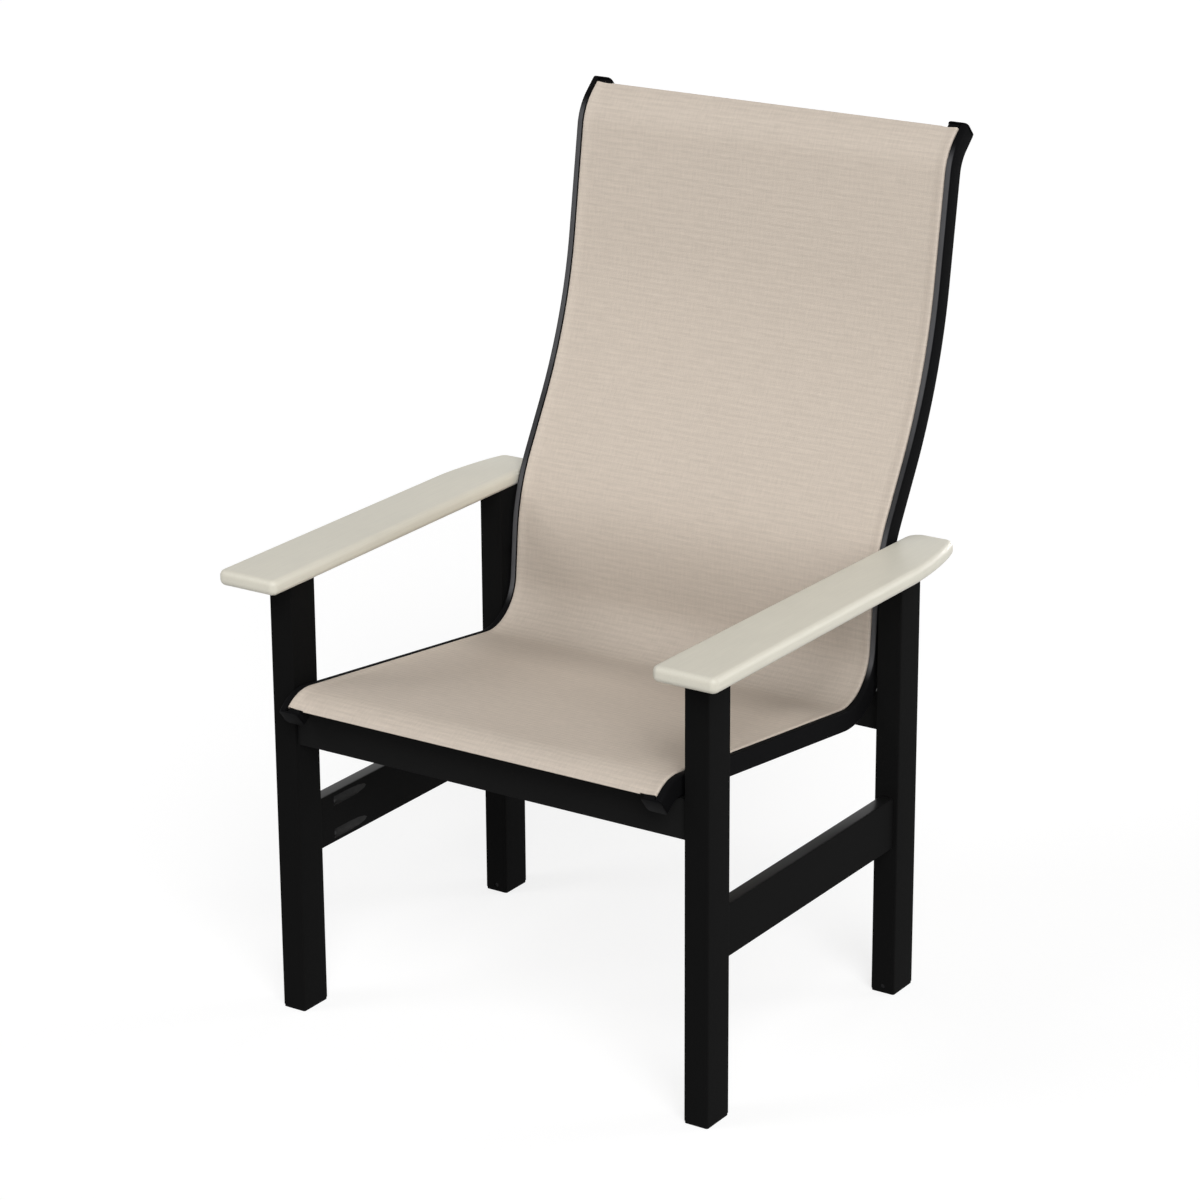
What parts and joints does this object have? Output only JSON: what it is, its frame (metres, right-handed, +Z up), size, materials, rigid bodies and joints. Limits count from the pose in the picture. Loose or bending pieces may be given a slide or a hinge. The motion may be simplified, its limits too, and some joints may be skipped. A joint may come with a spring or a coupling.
{
  "type": "sling patio armchair",
  "caption": "High-backed patio armchair with square straight legs, flat rounded arms and a one-piece fabric sling stretched over a seat that flows into a curved back.",
  "frame": {"origin": "on the ground under the middle of the chair's outer box", "axes": "+X towards the right arm as seen from in front, +Y from the front of the chair to its back, +Z up"},
  "size_m": [0.7492, 0.7588, 1.1294],
  "materials": {
    "frame_lumber": "satin black lumber",
    "arm_lumber": "satin sand lumber",
    "rail_metal": "black powder coat",
    "sling": "woven beige mesh",
    "welt": "black rod",
    "fasteners": "plain stainless",
    "mouldings": "satin black"
  },
  "bodies": {
    "root": {"arm_left": "arm_lumber", "arm_right": "arm_lumber", "arm_screw_front_left": "fasteners", "arm_screw_front_right": "fasteners", "arm_screw_rear_left": "fasteners", "arm_screw_rear_right": "fasteners", "cross_rail_front": "frame_lumber", "cross_rail_rear": "frame_lumber", "cross_screw_front_left": "fasteners", "cross_screw_front_right": "fasteners", "cross_screw_rear_left": "fasteners", "cross_screw_rear_right": "fasteners", "foot_front_left": "mouldings", "foot_front_right": "mouldings", "foot_pin_front_left": "fasteners", "foot_pin_front_right": "fasteners", "foot_pin_rear_left": "fasteners", "foot_pin_rear_right": "fasteners", "foot_rear_left": "mouldings", "foot_rear_right": "mouldings", "leg_front_left": "frame_lumber", "leg_front_right": "frame_lumber", "leg_rear_left": "frame_lumber", "leg_rear_right": "frame_lumber", "rail_bolt_front_left": "fasteners", "rail_bolt_front_right": "fasteners", "rail_bolt_rear_left": "fasteners", "rail_bolt_rear_right": "fasteners", "rail_cap_front_left": "mouldings", "rail_cap_front_right": "mouldings", "rail_cap_top_left": "mouldings", "rail_cap_top_right": "mouldings", "rail_spacer_front_left": "mouldings", "rail_spacer_front_right": "mouldings", "rail_spacer_rear_left": "mouldings", "rail_spacer_rear_right": "mouldings", "sling_fabric": "sling", "sling_rail_left": "rail_metal", "sling_rail_right": "rail_metal", "sling_welt_left": "welt", "sling_welt_right": "welt", "spreader_lumbar": "rail_metal", "spreader_plug_lumbar_left": "mouldings", "spreader_plug_lumbar_right": "mouldings", "spreader_plug_seat_left": "mouldings", "spreader_plug_seat_right": "mouldings", "spreader_plug_top_left": "mouldings", "spreader_plug_top_right": "mouldings", "spreader_seat": "rail_metal", "spreader_top": "rail_metal", "stretcher_left": "frame_lumber", "stretcher_right": "frame_lumber", "stretcher_screw_front_left_lower": "fasteners", "stretcher_screw_front_left_upper": "fasteners", "stretcher_screw_front_right_lower": "fasteners", "stretcher_screw_front_right_upper": "fasteners", "stretcher_screw_rear_left_lower": "fasteners", "stretcher_screw_rear_left_upper": "fasteners", "stretcher_screw_rear_right_lower": "fasteners", "stretcher_screw_rear_right_upper": "fasteners"}
  },
  "joints": []
}
